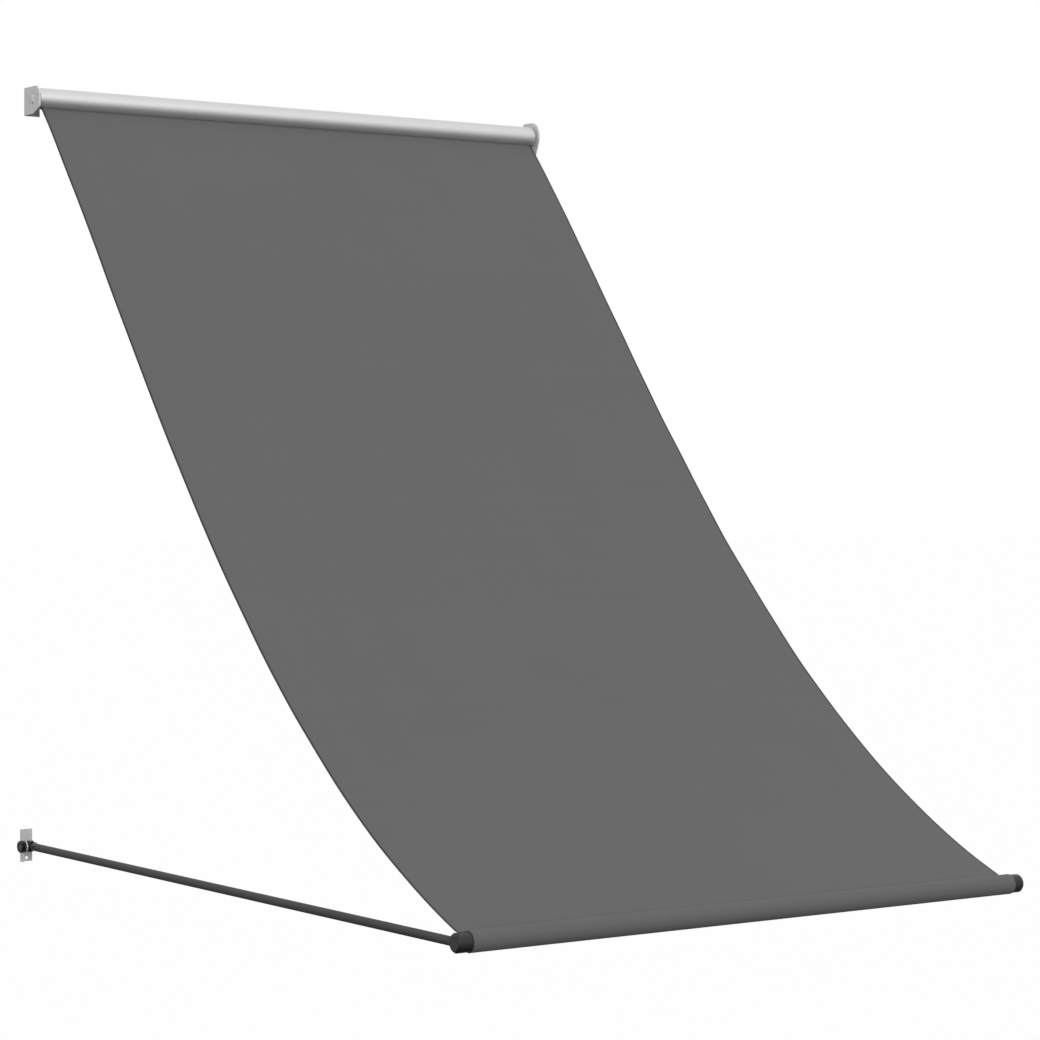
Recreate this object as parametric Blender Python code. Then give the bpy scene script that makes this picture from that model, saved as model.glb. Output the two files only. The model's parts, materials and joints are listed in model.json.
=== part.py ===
"""Fabric awning: a sprung roller on two wall brackets, a sheet of cloth, and two clamped arms with a bar.

Metres, +Z up. The wall is the plane Y = 0 and the awning stands out towards -Y. X runs along the wall.
The origin is on the wall, midway between the brackets and level with the roller's axis.
The brackets are folded sheet, the roller is an extruded tube, and the cloth hangs between roller and bar.
"""

import bpy
from math import acos, asin, atan2, cos, hypot, pi, radians, sin, tan

from mathutils import Matrix, Vector

# Driving dimensions
ARM_SPACING = 1.020
FABRIC_WIDTH = 1.000
HEM_WIDTH = 0.993
FABRIC_CENTRE = 0.0015
ROLLER_OUT = 0.0345
ROLLER_RADIUS = 0.018
PIVOT_OUT = 0.019
PIVOT_DROP = 1.250
ARM_REACH = 1.285
GAP = 0.0003

# Roller tube and the groove that holds the cloth's edge
TUBE_WALL = 0.0012
TUBE_HALF_LENGTH = 0.5035
GROOVE_ANGLE = radians(-24.5)
GROOVE_RADIUS = 0.0032
GROOVE_LIP = 0.0010
MOUTH_HALF = 0.0013
KEDER_RADIUS = 0.0025
GROOVE_CENTRE = ROLLER_RADIUS - GROOVE_LIP - GROOVE_RADIUS

# Roller ends
FLANGE_RADIUS = 0.0176
FLANGE_THICKNESS = 0.0020
PLUG_RADIUS = 0.0164
PLUG_LENGTH = 0.028
SPINDLE_RADIUS = 0.005
SPINDLE_INNER_END = -0.195
TONGUE_THICKNESS = 0.0028
TONGUE_HEIGHT = 0.0155
TONGUE_PROUD = 0.003
DRIVER_LENGTH = 0.026
DRIVER_OVERHANG = 0.006
COIL_RADIUS = 0.007
COIL_WIRE_RADIUS = 0.001
COIL_TURNS = 18
COIL_POINTS_PER_TURN = 12
COLLAR_RADIUS = 0.0085
COLLAR_LENGTH = 0.012
COLLAR_OUTER_END = -0.462
PIN_RADIUS = 0.004
PIN_INNER_END = 0.480

# Folded wall brackets
SHEET = 0.0025
UPPER_PLATE_WIDTH = 0.0288
UPPER_SCREWS_INBOARD = 0.018
UPPER_LEFT_OUTBOARD = 0.0005
LOWER_SHEET = 0.0022
LOWER_EAR_OUTBOARD = 0.0106
LOWER_PLATE_WIDTH = 0.0223
LOWER_HALF_HEIGHT = 0.0270
LOWER_FLANGE_DEPTH = 0.0127
LOWER_SCREWS_INBOARD = 0.0124
LOWER_SCREW_DROP = 0.0212
LOBE_ANGLE = radians(115)
BEND_INNER = 0.0010
SCREW_HOLE_RADIUS = 0.0026
BOLT_HOLE_RADIUS = 0.0033
LIGHT_HOLE_RADIUS = 0.0021
SLOT_HEIGHT = 0.0175
SLOT_WIDTH = 0.0034
CUT = 0.001

# Arms, their ends and the clamp
ARM_RADIUS = 0.0065
ARM_BORE = 0.0053
EYE_RADIUS = 0.0095
EYE_HALF_WIDTH = 0.005
STEM_LENGTH = 0.026
SPIGOT_LENGTH = 0.020
NECK_TAPER = 0.005
BOLT_RADIUS = 0.003
BOLT_HEAD_ACROSS = 0.0115
BOLT_HEAD_HEIGHT = 0.004
BOLT_HEAD_FACE = 0.0066
KNOB_RADIUS = 0.0104
KNOB_OUTER_FACE = 0.0202
KNOB_INNER_FACE = 0.0109
KNOB_FACETS = 8
KNOB_FACET_RADIUS = 0.0035
KNOB_DISH_RADIUS = 0.0058
KNOB_DISH_DEPTH = 0.0014
KNOB_CAP = 0.0026
FRICTION_WASHER = (0.0053, 0.0081, 0.0080)
HEAD_WASHER = (0.0053, 0.0063, 0.0065)

# Front bar and corner fittings
BAR_RADIUS = 0.014
BAR_WALL = 0.0015
BAR_HALF_LENGTH = 0.4965
ELBOW_RADIUS = 0.0138
ELBOW_EDGE = ((0.0, 0.0034), (0.0010, 0.0016), (0.0032, 0.0))
ELBOW_OUTBOARD = 0.0086
ELBOW_SHOULDER = 0.4969
ELBOW_SPIGOT_RADIUS = 0.0122
ELBOW_SPIGOT_END = 0.461
LEAD_IN = 0.001
SOCKET_RADIUS = 0.0068
SOCKET_FLOOR = 0.0030
SCREW_OFFSET = 0.0085
SCREW_SHANK_RADIUS = 0.0019
SCREW_HEAD_RADIUS = 0.0036
SCREW_HEAD_TOP = 0.0097
SCREW_HEAD_BOTTOM = 0.0118
SCREW_TIP = 0.0020
SCREW_EDGE = 0.0006

# Cloth
CLOTH = 0.0008
HEM_INNER_RADIUS = BAR_RADIUS + GAP
SEAM_BEHIND_BAR = 0.0192
SEAM_ABOVE_BAR = 0.0087
LEAVE_ANGLE = radians(49)
LEAVE_STRENGTH = 0.463
ARRIVE_ANGLE = radians(21.4)
ARRIVE_STRENGTH = 0.609
LIP_BEND_RADIUS = 0.003

ROLLER_AXIS = (-ROLLER_OUT, 0.0)
PIVOT = (-PIVOT_OUT, -PIVOT_DROP)
BAR_AXIS = (-PIVOT_OUT - ARM_REACH, -PIVOT_DROP)
SIDES = (("left", -1), ("right", 1))

FINISHES = {
    "galvanised": ((0.42, 0.42, 0.42), 1.0, 0.45),
    "aluminium": ((0.72, 0.72, 0.72), 1.0, 0.30),
    "anthracite": ((0.045, 0.045, 0.045), 0.3, 0.45),
    "black_plastic": ((0.030, 0.030, 0.030), 0.0, 0.45),
    "grey_plastic": ((0.45, 0.45, 0.45), 0.0, 0.50),
    "zinc": ((0.50, 0.50, 0.50), 1.0, 0.35),
    "spring_steel": ((0.20, 0.20, 0.20), 1.0, 0.40),
    "cloth": ((0.140, 0.140, 0.140), 0.0, 0.90),
}


# Helpers


def give_material(obj, finish):
    colour, metallic, roughness = FINISHES[finish]
    mat = bpy.data.materials.new(f"{obj.name}_{finish}")
    mat.use_nodes = True
    shader = mat.node_tree.nodes["Principled BSDF"]
    shader.inputs["Base Color"].default_value = (*colour, 1.0)
    shader.inputs["Metallic"].default_value = metallic
    shader.inputs["Roughness"].default_value = roughness
    obj.data.materials.append(mat)


def mesh_object(name, points, faces, finish):
    mesh = bpy.data.meshes.new(name)
    mesh.from_pydata(points, [], faces)
    mesh.validate()
    mesh.shade_smooth()
    mesh.set_sharp_from_angle(angle=radians(32))
    obj = bpy.data.objects.new(name, mesh)
    bpy.context.collection.objects.link(obj)
    if finish:
        give_material(obj, finish)
    return obj


def signed_area(outline):
    pairs = zip(outline, outline[1:] + outline[:1])
    return sum(a[0] * b[1] - b[0] * a[1] for a, b in pairs) / 2


def frame_point(axis, along, u, v):
    """A point on one axis, with u and v on the next two: (y, z) for X, (z, x) for Y, (x, y) for Z."""
    return {"X": (along, u, v), "Y": (v, along, u), "Z": (u, v, along)}[axis]


def loft(name, outline, axis, sections, finish, centre=(0.0, 0.0)):
    """The outline carried along an axis through (position, scale) sections, scaled about the centre."""
    outline = list(outline)
    if signed_area(outline) < 0:
        outline.reverse()
    count = len(outline)
    points = []
    for along, scale in sections:
        for u, v in outline:
            u = centre[0] + (u - centre[0]) * scale
            v = centre[1] + (v - centre[1]) * scale
            points.append(frame_point(axis, along, u, v))
    faces = [tuple(reversed(range(count)))]
    for ring in range(len(sections) - 1):
        start = ring * count
        for i in range(count):
            j = (i + 1) % count
            faces.append((start + i, start + j, start + count + j, start + count + i))
    last = (len(sections) - 1) * count
    faces.append(tuple(range(last, last + count)))
    return mesh_object(name, points, faces, finish)


def prism(name, outline, axis, low, high, finish=None):
    return loft(name, outline, axis, ((low, 1.0), (high, 1.0)), finish)


def turned(name, profile, axis, centre, finish=None, steps=32, ring=False):
    """A profile of (position, radius) turned about an axis through the centre. A ring's profile is closed."""
    if ring and signed_area(profile) >= 0:
        profile = list(reversed(profile))
    points = []
    for along, radius in profile:
        for step in range(steps):
            angle = 2 * pi * step / steps
            u = centre[0] + radius * cos(angle)
            v = centre[1] + radius * sin(angle)
            points.append(frame_point(axis, along, u, v))
    faces = []
    rows = len(profile)
    for row in range(rows if ring else rows - 1):
        start = row * steps
        following = ((row + 1) % rows) * steps
        for step in range(steps):
            side = (step + 1) % steps
            faces.append((start + step, start + side, following + side, following + step))
    if not ring:
        faces.append(tuple(reversed(range(steps))))
        faces.append(tuple(range((rows - 1) * steps, rows * steps)))
    return mesh_object(name, points, faces, finish)


def disc(centre, radius, steps=24):
    return [
        (centre[0] + radius * cos(2 * pi * i / steps), centre[1] + radius * sin(2 * pi * i / steps))
        for i in range(steps)
    ]


def arc(centre, radius, start, end, steps):
    return [
        (
            centre[0] + radius * cos(start + (end - start) * i / steps),
            centre[1] + radius * sin(start + (end - start) * i / steps),
        )
        for i in range(steps + 1)
    ]


def rounded(corners, steps=5, closed=True):
    """An outline of (u, v, radius) corners with each radius made as an arc."""
    outline = []
    count = len(corners)
    for i, (u, v, radius) in enumerate(corners):
        if radius == 0 or (not closed and i in (0, count - 1)):
            outline.append((u, v))
            continue
        here = Vector((u, v))
        before = (Vector(corners[i - 1][:2]) - here).normalized()
        after = (Vector(corners[(i + 1) % count][:2]) - here).normalized()
        half = acos(max(-1.0, min(1.0, before.dot(after)))) / 2
        middle = here + (before + after).normalized() * (radius / sin(half))
        first = here + before * (radius / tan(half)) - middle
        turn = first.angle_signed(here + after * (radius / tan(half)) - middle)
        for step in range(steps + 1):
            point = middle + first @ Matrix.Rotation(turn * step / steps, 2)
            outline.append((point.x, point.y))
    return outline


def boolean(obj, tool, operation):
    tool.hide_render = True
    tool.display_type = "WIRE"
    modifier = obj.modifiers.new(tool.name, "BOOLEAN")
    modifier.operation = operation
    modifier.object = tool
    return obj


def drill(obj, axis, centre, radius, low, high, steps=20):
    tool = prism(f"{obj.name}_drill_{len(obj.modifiers)}", disc(centre, radius, steps), axis, low, high)
    return boolean(obj, tool, "DIFFERENCE")


def carry(parent, *pieces):
    """Parents pieces and their cutters to an empty and keeps them where they are."""
    shift = Matrix.Translation(-parent.location)
    for piece in pieces:
        tools = [m.object for m in piece.modifiers if m.type == "BOOLEAN"]
        for obj in [piece, *tools]:
            if obj.parent is None:
                obj.data.transform(shift)
                obj.parent = parent


def pivot_empty(name, location):
    empty = bpy.data.objects.new(name, None)
    empty.location = location
    bpy.context.collection.objects.link(empty)
    return empty


# Wall brackets


def folded_angle(name, side_outline, corner_x, inboard, reach, plate_width, sheet):
    """One folded sheet: a wall plate on Y = 0 that runs inboard, and a side plate with the (y, z) outline."""
    bend = sheet + BEND_INNER
    section = [(0, reach), *arc((bend, bend), bend, pi, 1.5 * pi, 5), (plate_width, 0)]
    section += [(plate_width, sheet), *arc((bend, bend), BEND_INNER, 1.5 * pi, pi, 5), (sheet, reach)]
    section = [(corner_x + inboard * u, -v) for u, v in section]
    heights = [z for _, z in side_outline]
    margin = 0.005
    angle = prism(name, section, "Z", min(heights) - margin, max(heights) + margin, "galvanised")
    ends = sorted((corner_x - inboard * margin, corner_x + inboard * (plate_width + margin)))
    outline = prism(f"{name}_outline", side_outline, "X", *ends)
    return boolean(angle, outline, "INTERSECT")


def screw_holes(bracket, x, heights, sheet):
    for z in heights:
        drill(bracket, "Y", (z, x), SCREW_HOLE_RADIUS, -sheet - CUT, CUT)


def side_outline_from(corners, level):
    """Corners of (out from the wall, height, radius) as a (y, z) outline that runs past the wall plane."""
    return [(-out, z + level) for out, z in rounded(corners)]


def upper_bracket_left():
    corners = [(-0.01, 0.0200, 0), (0.0480, 0.0197, 0.005), (0.0590, 0.0095, 0.006), (0.0590, -0.0165, 0.005)]
    corners += [(0.0360, -0.0257, 0.010), (-0.01, -0.0265, 0)]
    corner_x = -ARM_SPACING / 2 - UPPER_LEFT_OUTBOARD
    bracket = folded_angle(
        "upper_bracket_left", side_outline_from(corners, 0.0), corner_x, 1, 0.070, UPPER_PLATE_WIDTH, SHEET
    )
    slot_end = (SLOT_HEIGHT - SLOT_WIDTH) / 2
    slot = arc((-ROLLER_OUT, slot_end), SLOT_WIDTH / 2, 0, pi, 8)
    slot += arc((-ROLLER_OUT, -slot_end), SLOT_WIDTH / 2, pi, 2 * pi, 8)
    through = (corner_x - CUT, corner_x + SHEET + CUT)
    boolean(bracket, prism("upper_bracket_left_slot", slot, "X", *through), "DIFFERENCE")
    for hole in ((-0.0105, 0.0075), (-0.0520, 0.0045)):
        drill(bracket, "X", hole, LIGHT_HOLE_RADIUS, *through)
    screw_holes(bracket, corner_x + UPPER_SCREWS_INBOARD, (0.0115, -0.0190), SHEET)


def upper_bracket_right():
    corners = [(-0.01, 0.0205, 0), (0.0070, 0.0205, 0.004), (0.0130, 0.0262, 0.004), (0.0590, 0.0262, 0.0245)]
    corners += [(0.0600, -0.0060, 0.010), (0.0470, -0.0380, 0.006), (-0.01, -0.0380, 0)]
    corner_x = ARM_SPACING / 2
    bracket = folded_angle(
        "upper_bracket_right", side_outline_from(corners, 0.0), corner_x, -1, 0.070, UPPER_PLATE_WIDTH, SHEET
    )
    drill(bracket, "X", ROLLER_AXIS, PIN_RADIUS + GAP, corner_x - SHEET - CUT, corner_x + CUT)
    screw_holes(bracket, corner_x - UPPER_SCREWS_INBOARD, (0.0115, -0.0280), SHEET)


def lower_bracket(label, side):
    flange, top, step = LOWER_FLANGE_DEPTH, LOWER_HALF_HEIGHT, 0.0109
    corners = [(-0.01, top, 0), (flange, top, 0.0015), (flange, step, 0)]
    corners += [(*point, 0) for point in arc((PIVOT_OUT, 0), EYE_RADIUS, LOBE_ANGLE, -LOBE_ANGLE, 16)]
    corners += [(flange, -step, 0), (flange, -top, 0.0015), (-0.01, -top, 0)]
    corner_x = side * (ARM_SPACING / 2 + LOWER_EAR_OUTBOARD)
    outline = side_outline_from(corners, -PIVOT_DROP)
    bracket = folded_angle(
        f"lower_bracket_{label}", outline, corner_x, -side, 0.040, LOWER_PLATE_WIDTH, LOWER_SHEET
    )
    ear = sorted((corner_x + side * CUT, corner_x - side * (LOWER_SHEET + CUT)))
    drill(bracket, "X", PIVOT, BOLT_HOLE_RADIUS, *ear)
    heights = (-PIVOT_DROP, -PIVOT_DROP - LOWER_SCREW_DROP)
    screw_holes(bracket, corner_x - side * LOWER_SCREWS_INBOARD, heights, LOWER_SHEET)


# Roller


def groove_frame(points):
    """Turns (u, v) points, with u towards the groove, to (y, z) about the roller's axis."""
    tilt = GROOVE_ANGLE - pi / 2
    return [
        (ROLLER_AXIS[0] + u * cos(tilt) - v * sin(tilt), ROLLER_AXIS[1] + u * sin(tilt) + v * cos(tilt))
        for u, v in points
    ]


def roller_tube():
    """An extruded tube whose groove opens through a narrow mouth towards the pull of the cloth."""
    mouth = asin(MOUTH_HALF / ROLLER_RADIUS)
    inner_mouth = asin(MOUTH_HALF / GROOVE_RADIUS)
    outer = arc((0, 0), ROLLER_RADIUS, mouth, 2 * pi - mouth, 44)
    outer += arc((GROOVE_CENTRE, 0), GROOVE_RADIUS, -inner_mouth, inner_mouth - 2 * pi, 14)
    bore, wall = ROLLER_RADIUS - TUBE_WALL, GROOVE_RADIUS + GROOVE_LIP
    u = (bore**2 - wall**2 + GROOVE_CENTRE**2) / (2 * GROOVE_CENTRE)
    v = (bore**2 - u**2) ** 0.5
    bore_start, wall_start = atan2(v, u), atan2(v, u - GROOVE_CENTRE)
    inner = arc((0, 0), bore, bore_start, 2 * pi - bore_start, 40)
    inner += arc((GROOVE_CENTRE, 0), wall, -wall_start, wall_start - 2 * pi, 14)[1:-1]
    tube = prism("roller_tube", groove_frame(outer), "X", -TUBE_HALF_LENGTH, TUBE_HALF_LENGTH, "aluminium")
    reach = TUBE_HALF_LENGTH + CUT
    return boolean(tube, prism("roller_tube_bore", groove_frame(inner), "X", -reach, reach), "DIFFERENCE")


def clear_groove(plug, low, high):
    """Notches a plug so that it slides past the groove's wall inside the tube."""
    centre = groove_frame([(GROOVE_CENTRE, 0)])[0]
    return drill(plug, "X", centre, GROOVE_RADIUS + GROOVE_LIP + GAP, low, high)


def end_plug(name, side, bore):
    """A flanged bush in one end of the tube. Its body is notched for the groove, its flange isn't."""
    face = TUBE_HALF_LENGTH + GAP
    tip = TUBE_HALF_LENGTH - PLUG_LENGTH
    outside = face + FLANGE_THICKNESS
    profile = [(outside, bore), (outside, FLANGE_RADIUS), (face, FLANGE_RADIUS)]
    profile += [(face, PLUG_RADIUS), (tip + LEAD_IN, PLUG_RADIUS), (tip, PLUG_RADIUS - LEAD_IN), (tip, bore)]
    profile = [(side * x, r) for x, r in profile]
    plug = turned(name, profile, "X", ROLLER_AXIS, "grey_plastic", ring=True)
    return clear_groove(plug, *sorted((side * (tip - CUT), side * face)))


def spindle():
    """A round rod whose outer end is flattened to the tongue that the bracket's slot holds."""
    blade_in = -TUBE_HALF_LENGTH - GAP - FLANGE_THICKNESS
    blade_out = -ARM_SPACING / 2 - TONGUE_PROUD
    profile = [(blade_in - LEAD_IN, SPINDLE_RADIUS), (SPINDLE_INNER_END - LEAD_IN, SPINDLE_RADIUS)]
    profile += [(SPINDLE_INNER_END, SPINDLE_RADIUS - LEAD_IN)]
    rod = turned("spindle", profile, "X", ROLLER_AXIS, "zinc", steps=24)
    half_y, half_z = TONGUE_THICKNESS / 2, TONGUE_HEIGHT / 2
    y = ROLLER_AXIS[0]
    corners = [(y - half_y, -half_z, LEAD_IN), (y + half_y, -half_z, LEAD_IN)]
    corners += [(y + half_y, half_z, LEAD_IN), (y - half_y, half_z, LEAD_IN)]
    blade = prism("spindle_tongue", rounded(corners, 3), "X", blade_out, blade_in - GAP)
    return boolean(rod, blade, "UNION")


def spring_collar():
    bore = SPINDLE_RADIUS + GAP
    ends = (COLLAR_OUTER_END, COLLAR_OUTER_END + COLLAR_LENGTH)
    profile = [(ends[0], bore), (ends[0], COLLAR_RADIUS), (ends[1], COLLAR_RADIUS), (ends[1], bore)]
    return turned("spring_collar", profile, "X", ROLLER_AXIS, "zinc", steps=24, ring=True)


def spring_driver():
    """The plug inside the tube that the spring's inner end turns."""
    bore = SPINDLE_RADIUS + GAP
    high = SPINDLE_INNER_END + DRIVER_OVERHANG
    low = high - DRIVER_LENGTH
    profile = [(low, bore), (low, PLUG_RADIUS), (high, PLUG_RADIUS), (high, bore)]
    driver = turned("spring_driver", profile, "X", ROLLER_AXIS, "black_plastic", ring=True)
    return clear_groove(driver, low - CUT, high + CUT)


def roller_spring():
    """A torsion spring round the spindle, from the collar to the driver."""
    start = COLLAR_OUTER_END + COLLAR_LENGTH + COIL_WIRE_RADIUS + GAP
    end = SPINDLE_INNER_END + DRIVER_OVERHANG - DRIVER_LENGTH - COIL_WIRE_RADIUS - GAP
    curve = bpy.data.curves.new("roller_spring", "CURVE")
    curve.dimensions = "3D"
    curve.bevel_depth = COIL_WIRE_RADIUS
    curve.bevel_resolution = 1
    curve.use_fill_caps = True
    spline = curve.splines.new("POLY")
    count = COIL_TURNS * COIL_POINTS_PER_TURN
    spline.points.add(count)
    for i, point in enumerate(spline.points):
        angle = 2 * pi * i / COIL_POINTS_PER_TURN
        x = start + (end - start) * i / count
        y = ROLLER_AXIS[0] + COIL_RADIUS * cos(angle)
        z = ROLLER_AXIS[1] + COIL_RADIUS * sin(angle)
        point.co = (x, y, z, 1)
    spring = bpy.data.objects.new("roller_spring", curve)
    bpy.context.collection.objects.link(spring)
    give_material(spring, "spring_steel")
    return spring


def idle_pin():
    tip = ARM_SPACING / 2 + TONGUE_PROUD
    profile = [(PIN_INNER_END, PIN_RADIUS), (tip - LEAD_IN, PIN_RADIUS), (tip, PIN_RADIUS - LEAD_IN)]
    return turned("idle_pin", profile, "X", ROLLER_AXIS, "zinc", steps=24)


def keder_rod():
    centre = groove_frame([(GROOVE_CENTRE, 0)])[0]
    return prism("keder_rod", disc(centre, KEDER_RADIUS, 12), "X", *cloth_ends(FABRIC_WIDTH), "black_plastic")


# Cloth


def cloth_ends(width):
    return FABRIC_CENTRE - width / 2, FABRIC_CENTRE + width / 2


def cloth_path():
    """The cloth's centre line: out of the groove, over its lip, and down the sagging curve to the seam."""
    outwards = Vector((cos(GROOVE_ANGLE - pi / 2), sin(GROOVE_ANGLE - pi / 2)))
    axis = Vector(ROLLER_AXIS)
    start = axis + outwards * (GROOVE_CENTRE + KEDER_RADIUS + GAP)
    lip = axis + outwards * (ROLLER_RADIUS + GAP + CLOTH / 2)
    last = Vector((BAR_AXIS[0] + SEAM_BEHIND_BAR, BAR_AXIS[1] + SEAM_ABOVE_BAR))
    near_roller = lip - LEAVE_STRENGTH * Vector((cos(LEAVE_ANGLE), sin(LEAVE_ANGLE)))
    near_bar = last + ARRIVE_STRENGTH * Vector((cos(ARRIVE_ANGLE), sin(ARRIVE_ANGLE)))
    steps = 48
    path = [(*start, 0), (*lip, LIP_BEND_RADIUS)]
    for i in range(1, steps + 1):
        t = i / steps
        s = 1 - t
        point = s**3 * lip + 3 * s * s * t * near_roller + 3 * s * t * t * near_bar + t**3 * last
        path.append((point.x, point.y, 0))
    return rounded(path, 4, closed=False)


def beside(path, distance):
    """The path moved sideways to its left by a distance."""
    moved = []
    for i, point in enumerate(path):
        before = path[max(i - 1, 0)]
        after = path[min(i + 1, len(path) - 1)]
        length = hypot(after[0] - before[0], after[1] - before[1])
        normal = (-(after[1] - before[1]) / length, (after[0] - before[0]) / length)
        moved.append((point[0] + normal[0] * distance, point[1] + normal[1] * distance))
    return moved


def teardrop(radius, apex_distance, steps=28):
    """The loop of cloth round the bar, from its top tangent point over the front to the bottom one."""
    towards = atan2(SEAM_ABOVE_BAR, SEAM_BEHIND_BAR)
    half = acos(radius / apex_distance)
    loop = arc(BAR_AXIS, radius, towards + half, towards + 2 * pi - half, steps)
    apex = (BAR_AXIS[0] + apex_distance * cos(towards), BAR_AXIS[1] + apex_distance * sin(towards))
    return loop, apex


def fabric():
    """One sheet with a sewn hem: the front bar lies in the loop and the seam is just behind it."""
    path = cloth_path()
    seam = hypot(SEAM_BEHIND_BAR, SEAM_ABOVE_BAR)
    hem, _ = teardrop(HEM_INNER_RADIUS + CLOTH, seam)
    upper = beside(path, -CLOTH / 2)
    lower = beside(path, CLOTH / 2)
    sheet = prism("fabric", upper + hem + lower[::-1], "X", *cloth_ends(FABRIC_WIDTH), "cloth")
    pocket, apex = teardrop(HEM_INNER_RADIUS, seam - 2 * CLOTH)
    wider = FABRIC_WIDTH + 2 * CUT
    boolean(sheet, prism("fabric_pocket", [*pocket, apex], "X", *cloth_ends(wider)), "DIFFERENCE")
    behind = BAR_AXIS[0] + SEAM_BEHIND_BAR
    reach = 2 * BAR_RADIUS
    low, high = BAR_AXIS[1] - reach, BAR_AXIS[1] + reach
    trim = [(behind, low), (behind, high), (behind - 2 * reach, high), (behind - 2 * reach, low)]
    for label, side in SIDES:
        ends = sorted(FABRIC_CENTRE + side * width / 2 for width in (HEM_WIDTH, wider))
        boolean(sheet, prism(f"fabric_trim_{label}", trim, "X", *ends), "DIFFERENCE")
    return sheet


# Arms and front bar


def front_bar():
    inner = BAR_RADIUS - BAR_WALL
    ends = (-BAR_HALF_LENGTH, BAR_HALF_LENGTH)
    profile = [(ends[0], inner), (ends[0], BAR_RADIUS), (ends[1], BAR_RADIUS), (ends[1], inner)]
    return turned("front_bar", profile, "X", BAR_AXIS, "anthracite", ring=True)


def elbow(label, side):
    """A moulded corner: a plug for the bar's end, a round body, and a socket at its back for the arm."""
    x = side * ARM_SPACING / 2
    outer = ARM_SPACING / 2 + ELBOW_OUTBOARD
    profile = [(outer - inset, ELBOW_RADIUS - drop) for inset, drop in ELBOW_EDGE]
    profile += [(ELBOW_SHOULDER, ELBOW_RADIUS), (ELBOW_SHOULDER, ELBOW_SPIGOT_RADIUS)]
    profile += [(ELBOW_SPIGOT_END + LEAD_IN, ELBOW_SPIGOT_RADIUS)]
    profile += [(ELBOW_SPIGOT_END, ELBOW_SPIGOT_RADIUS - LEAD_IN)]
    profile = [(side * p, r) for p, r in (profile if side < 0 else profile[::-1])]
    body = turned(f"elbow_{label}", profile, "X", BAR_AXIS, "black_plastic")
    back = BAR_AXIS[0] + 2 * ELBOW_RADIUS
    drill(body, "Y", (BAR_AXIS[1], x), SOCKET_RADIUS, BAR_AXIS[0] + SOCKET_FLOOR, back, 24)
    screw_at = (x, BAR_AXIS[0] + SCREW_OFFSET)
    below = BAR_AXIS[1] - 2 * ELBOW_RADIUS
    drill(body, "Z", screw_at, SCREW_SHANK_RADIUS + GAP, below, BAR_AXIS[1], 12)
    drill(body, "Z", screw_at, SCREW_HEAD_RADIUS + GAP, below, BAR_AXIS[1] - SCREW_HEAD_TOP + GAP, 16)
    return body


def elbow_screw(label, side):
    """A screw up through the elbow's underside that locks the arm in its socket."""
    head, seat, tip = (BAR_AXIS[1] - drop for drop in (SCREW_HEAD_BOTTOM, SCREW_HEAD_TOP, SCREW_TIP))
    profile = [(head, SCREW_HEAD_RADIUS - SCREW_EDGE), (head + SCREW_EDGE, SCREW_HEAD_RADIUS)]
    profile += [(seat, SCREW_HEAD_RADIUS), (seat, SCREW_SHANK_RADIUS), (tip, SCREW_SHANK_RADIUS)]
    centre = (side * ARM_SPACING / 2, BAR_AXIS[0] + SCREW_OFFSET)
    return turned(f"elbow_screw_{label}", profile, "Z", centre, "zinc", steps=16)


def arm(label, side):
    wall_end, bar_end = PIVOT[0] - STEM_LENGTH - GAP, BAR_AXIS[0] + SOCKET_FLOOR + GAP
    profile = [(bar_end, ARM_BORE), (bar_end, ARM_RADIUS), (wall_end, ARM_RADIUS), (wall_end, ARM_BORE)]
    x = side * ARM_SPACING / 2
    tube = turned(f"arm_{label}", profile, "Y", (PIVOT[1], x), "anthracite", steps=28, ring=True)
    screw_at = (x, BAR_AXIS[0] + SCREW_OFFSET)
    return drill(tube, "Z", screw_at, SCREW_SHANK_RADIUS + GAP, PIVOT[1] - 2 * ARM_RADIUS, PIVOT[1], 12)


def arm_eye(label, side):
    """The arm's plastic end: a round eye on the bolt, a stem as thick as the tube and a plug inside it."""
    x = side * ARM_SPACING / 2
    sections = [(x - EYE_HALF_WIDTH, 0.9), (x - EYE_HALF_WIDTH + LEAD_IN, 1.0)]
    sections += [(x + EYE_HALF_WIDTH - LEAD_IN, 1.0), (x + EYE_HALF_WIDTH, 0.9)]
    eye = loft(f"arm_eye_{label}", disc(PIVOT, EYE_RADIUS, 32), "X", sections, "black_plastic", PIVOT)
    stem_end = PIVOT[0] - STEM_LENGTH
    plug_end = stem_end - SPIGOT_LENGTH
    plug = ARM_BORE - GAP
    neck = EYE_HALF_WIDTH - GAP
    shoulder = PIVOT[0] - EYE_RADIUS
    profile = [(plug_end, plug - LEAD_IN), (plug_end + LEAD_IN, plug), (stem_end, plug)]
    profile += [(stem_end, ARM_RADIUS), (shoulder - NECK_TAPER, ARM_RADIUS), (shoulder - LEAD_IN, neck)]
    profile += [(PIVOT[0] - BOLT_RADIUS, neck)]
    stem = turned(f"arm_stem_{label}", profile, "Y", (PIVOT[1], x), steps=28)
    boolean(eye, stem, "UNION")
    return drill(eye, "X", PIVOT, BOLT_HOLE_RADIUS, x - 2 * EYE_HALF_WIDTH, x + 2 * EYE_HALF_WIDTH)


def washer(name, x_ends, radius, finish):
    low, high = sorted(x_ends)
    profile = [(low, BOLT_HOLE_RADIUS), (low, radius), (high, radius), (high, BOLT_HOLE_RADIUS)]
    return turned(name, profile, "X", PIVOT, finish, steps=24, ring=True)


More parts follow.
